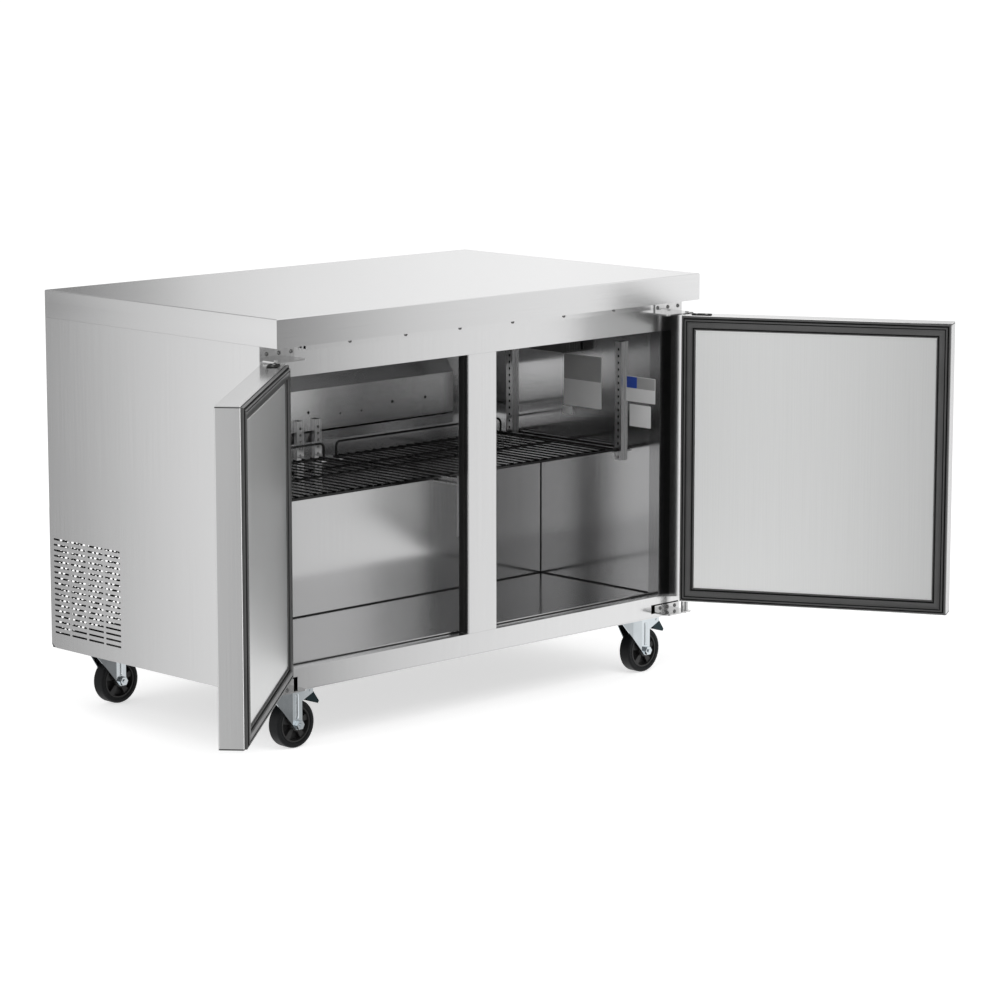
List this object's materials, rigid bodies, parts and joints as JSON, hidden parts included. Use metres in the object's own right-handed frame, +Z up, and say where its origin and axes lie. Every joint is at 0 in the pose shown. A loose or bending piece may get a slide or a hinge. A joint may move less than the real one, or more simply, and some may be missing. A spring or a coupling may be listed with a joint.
{
  "type": "under counter refrigerator",
  "caption": "Stainless steel under counter refrigerator with two hinged doors, flat worktop, wire shelves and swivel casters with brakes.",
  "frame": {"origin": "on the floor under the centre of the worktop", "axes": "+X to the right as seen from the front, +Y to the back, +Z up; the doors are on the -Y side"},
  "size_m": [1.9648, 1.2366, 0.8935],
  "materials": {
    "worktop_steel": "satin",
    "side_steel": "satin",
    "back_steel": "satin",
    "front_steel": "satin",
    "liner_steel": "satin",
    "foam": "matte",
    "evaporator_steel": "satin",
    "fins": "satin",
    "grey_plastic": "matte",
    "black_paint": "satin",
    "black_plastic": "matte",
    "fitting_steel": "satin",
    "shelf_wire": "satin",
    "hinge_steel": "satin",
    "zinc": "satin",
    "tyre_rubber": "matte",
    "door_steel": "satin",
    "panel_steel": "satin",
    "gasket_rubber": "matte",
    "cap_steel": "satin"
  },
  "bodies": {
    "cabinet": {"worktop": "worktop_steel", "side_panel_left": "side_steel", "side_panel_right": "side_steel", "back_panel": "back_steel", "rear_vent_cover": "back_steel", "base_pan": "back_steel", "top_rail": "front_steel", "bottom_rail": "front_steel", "mullion": "front_steel", "front_stiles": "front_steel", "drip_strip": "front_steel", "liner_floor": "liner_steel", "liner_sides": "liner_steel", "liner_back": "liner_steel", "liner_ceiling": "liner_steel", "insulation": "foam", "evaporator_cover": "evaporator_steel", "evaporator_coil": "fins", "drain_pan": "evaporator_steel", "thermostat": "grey_plastic", "fan_guards": "black_paint", "pilasters": "fitting_steel", "shelf_clips": "fitting_steel", "shelf_left": "shelf_wire", "shelf_right": "shelf_wire", "shelf_guards": "shelf_wire", "hinge_brackets": "hinge_steel", "front_screws": "hinge_steel", "compressor": "black_paint", "condenser": "fins", "drain_tray": "grey_plastic", "control_box": "grey_plastic", "caster_plates": "zinc"},
    "left_door": {"left_door_shell": "door_steel", "left_door_panel": "panel_steel", "left_door_gasket": "gasket_rubber", "left_door_caps": "cap_steel", "left_door_core": "foam"},
    "right_door": {"right_door_shell": "door_steel", "right_door_panel": "panel_steel", "right_door_gasket": "gasket_rubber", "right_door_caps": "cap_steel", "right_door_core": "foam"},
    "fork_front_left": {"fork_front_left": "zinc"},
    "wheel_front_left": {"wheel_front_left": "black_plastic", "tyre_front_left": "tyre_rubber"},
    "fork_front_right": {"fork_front_right": "zinc"},
    "wheel_front_right": {"wheel_front_right": "black_plastic", "tyre_front_right": "tyre_rubber"},
    "fork_rear_left": {"fork_rear_left": "zinc"},
    "wheel_rear_left": {"wheel_rear_left": "black_plastic", "tyre_rear_left": "tyre_rubber"},
    "fork_rear_right": {"fork_rear_right": "zinc"},
    "wheel_rear_right": {"wheel_rear_right": "black_plastic", "tyre_rear_right": "tyre_rubber"},
    "brake_left": {"brake_pedal_left": "black_plastic"},
    "brake_right": {"brake_pedal_right": "black_plastic"},
    "evaporator_fan_left": {"evaporator_fan_left": "black_plastic"},
    "evaporator_fan_right": {"evaporator_fan_right": "black_plastic"},
    "condenser_fan": {"condenser_fan": "black_plastic"}
  },
  "joints": [
    {"name": "left_door_hinge", "type": "hinge", "parent": "cabinet", "child": "left_door", "pos_m": [-0.594, -0.3478, 0.48], "axis": [0, 0, -1], "range_deg": [-139.1, 10.9]},
    {"name": "right_door_hinge", "type": "hinge", "parent": "cabinet", "child": "right_door", "pos_m": [0.594, -0.3478, 0.48], "axis": [0, 0, 1], "range_deg": [-120.2, 29.8]},
    {"name": "swivel_front_left", "type": "hinge", "parent": "cabinet", "child": "fork_front_left", "pos_m": [-0.514, -0.26, 0.118], "axis": [0, 0, 1], "continuous": true},
    {"name": "roll_front_left", "type": "hinge", "parent": "fork_front_left", "child": "wheel_front_left", "pos_m": [-0.4865, -0.26, 0.0496], "axis": [0, 1, 0], "continuous": true},
    {"name": "swivel_front_right", "type": "hinge", "parent": "cabinet", "child": "fork_front_right", "pos_m": [0.514, -0.26, 0.118], "axis": [0, 0, 1], "continuous": true},
    {"name": "roll_front_right", "type": "hinge", "parent": "fork_front_right", "child": "wheel_front_right", "pos_m": [0.5415, -0.26, 0.0496], "axis": [0, 1, 0], "continuous": true},
    {"name": "swivel_rear_left", "type": "hinge", "parent": "cabinet", "child": "fork_rear_left", "pos_m": [-0.514, 0.311, 0.118], "axis": [0, 0, 1], "continuous": true},
    {"name": "roll_rear_left", "type": "hinge", "parent": "fork_rear_left", "child": "wheel_rear_left", "pos_m": [-0.4865, 0.311, 0.0496], "axis": [0, 1, 0], "continuous": true},
    {"name": "swivel_rear_right", "type": "hinge", "parent": "cabinet", "child": "fork_rear_right", "pos_m": [0.514, 0.311, 0.118], "axis": [0, 0, 1], "continuous": true},
    {"name": "roll_rear_right", "type": "hinge", "parent": "fork_rear_right", "child": "wheel_rear_right", "pos_m": [0.5415, 0.311, 0.0496], "axis": [0, 1, 0], "continuous": true},
    {"name": "brake_press_left", "type": "hinge", "parent": "fork_front_left", "child": "brake_left", "pos_m": [-0.454, -0.26, 0.1148], "axis": [0, 1, 0], "range_deg": [0, 18]},
    {"name": "brake_press_right", "type": "hinge", "parent": "fork_front_right", "child": "brake_right", "pos_m": [0.574, -0.26, 0.1148], "axis": [0, 1, 0], "range_deg": [0, 18]},
    {"name": "evaporator_fan_left_spin", "type": "hinge", "parent": "cabinet", "child": "evaporator_fan_left", "pos_m": [-0.327, 0.27653, 0.67048], "axis": [0, -0.8191, 0.5736], "continuous": true},
    {"name": "evaporator_fan_right_spin", "type": "hinge", "parent": "cabinet", "child": "evaporator_fan_right", "pos_m": [-0.137, 0.27653, 0.67048], "axis": [0, -0.8191, 0.5736], "continuous": true},
    {"name": "condenser_fan_spin", "type": "hinge", "parent": "cabinet", "child": "condenser_fan", "pos_m": [0.3285, 0.2375, 0.244], "axis": [1, 0, 0], "continuous": true}
  ]
}
